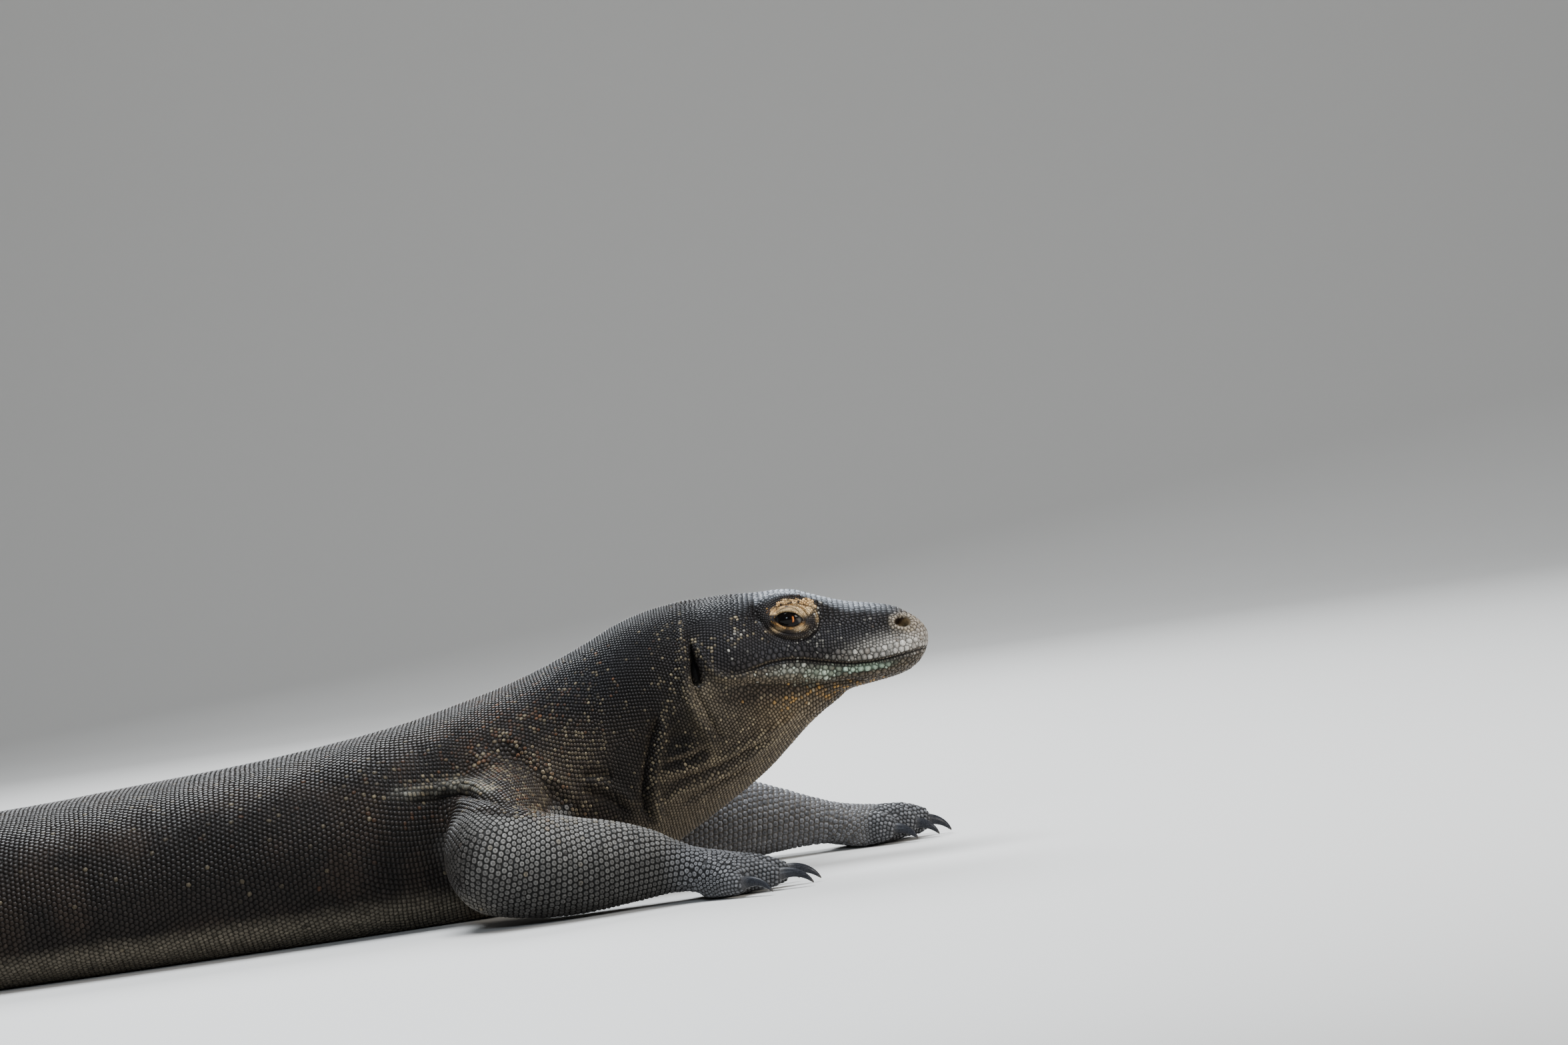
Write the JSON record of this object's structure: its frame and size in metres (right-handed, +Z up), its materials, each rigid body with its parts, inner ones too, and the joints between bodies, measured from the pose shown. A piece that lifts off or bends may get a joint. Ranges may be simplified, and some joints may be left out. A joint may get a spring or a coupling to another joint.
{
  "type": "komodo dragon",
  "caption": "Life-size adult Komodo dragon resting on its belly with its head raised, forelegs forward, hind legs spread and the long tail trailing in a curve.",
  "frame": {"origin": "middle of the footprint of the whole animal, on the floor it lies on", "axes": "+X the way the animal faces, +Y its left side, +Z up"},
  "size_m": [2.2852, 0.774, 0.2115],
  "materials": {
    "skin": "dry scaly hide, dark grey-brown with rust and cream flecks",
    "limb_skin": "dry scaly hide, mid grey",
    "claw_horn": "smooth dark horn with a dull shine",
    "eye": "wet gloss"
  },
  "bodies": {
    "root": {"head": "skin", "lower_jaw": "skin", "neck": "skin", "chest": "skin", "belly": "skin", "pelvis": "skin", "tail_root": "skin", "tail_middle": "skin", "tail_rear": "skin", "tail_tip": "skin", "upper_arm_right": "limb_skin", "forearm_right": "limb_skin", "hand_right": "limb_skin", "thigh_right": "limb_skin", "shank_right": "limb_skin", "foot_right": "limb_skin", "upper_arm_left": "limb_skin", "forearm_left": "limb_skin", "hand_left": "limb_skin", "thigh_left": "limb_skin", "shank_left": "limb_skin", "foot_left": "limb_skin", "hand_right_claw_1": "claw_horn", "hand_right_claw_2": "claw_horn", "hand_right_claw_3": "claw_horn", "hand_right_claw_4": "claw_horn", "hand_right_claw_5": "claw_horn", "foot_right_claw_1": "claw_horn", "foot_right_claw_2": "claw_horn", "foot_right_claw_3": "claw_horn", "foot_right_claw_4": "claw_horn", "foot_right_claw_5": "claw_horn", "hand_left_claw_1": "claw_horn", "hand_left_claw_2": "claw_horn", "hand_left_claw_3": "claw_horn", "hand_left_claw_4": "claw_horn", "hand_left_claw_5": "claw_horn", "foot_left_claw_1": "claw_horn", "foot_left_claw_2": "claw_horn", "foot_left_claw_3": "claw_horn", "foot_left_claw_4": "claw_horn", "foot_left_claw_5": "claw_horn", "eye_right": "eye", "eye_left": "eye"}
  },
  "joints": []
}
